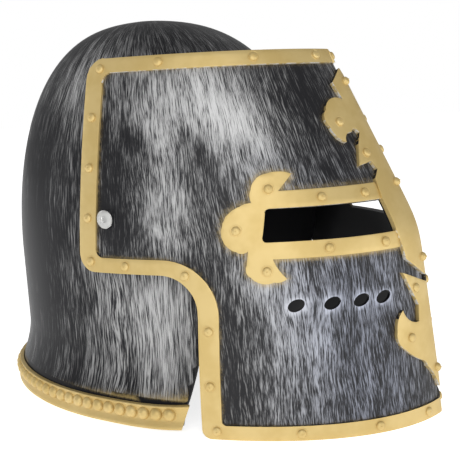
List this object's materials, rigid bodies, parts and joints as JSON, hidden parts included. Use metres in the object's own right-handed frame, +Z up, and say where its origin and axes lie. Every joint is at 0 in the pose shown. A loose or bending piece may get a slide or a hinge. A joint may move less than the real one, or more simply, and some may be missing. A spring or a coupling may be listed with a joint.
{
  "type": "medieval helmet",
  "caption": "Closed helmet with a domed skull, a beaded nape band and a pointed, lifting visor with eye slots, breath holes, a riveted border and a fleur-ended cross.",
  "frame": {"origin": "centre of the footprint, on the surface that the helmet stands on", "axes": "+Z is up, -Y is where the face looks, -X is the wearer's right"},
  "size_m": [0.2188, 0.3523, 0.2695],
  "materials": {
    "iron": "near-black plastic, dry-brushed with silver to look like worked iron",
    "visor_iron": "near-black plastic, dry-brushed with silver, bluish low down",
    "band_gold": "satin gold paint over the bands' beads",
    "border_gold": "satin gold paint, worn along its edges",
    "cross_gold": "satin gold paint, worn along its edges",
    "clear": "clear moulded plastic"
  },
  "bodies": {
    "shell": {"skull": "iron", "nape_band": "band_gold", "pivot_rivet_right": "clear", "pivot_rivet_left": "clear"},
    "face_plate": {"visor": "visor_iron", "visor_border": "border_gold", "cross_right": "cross_gold", "cross_left": "cross_gold", "keel_spine": "cross_gold", "lower_fleur": "cross_gold"}
  },
  "joints": [
    {"name": "visor_lift", "type": "hinge", "parent": "shell", "child": "face_plate", "pos_m": [0, 0.01328, 0.1388], "axis": [-1, 0, 0], "range_deg": [0, 30]}
  ]
}
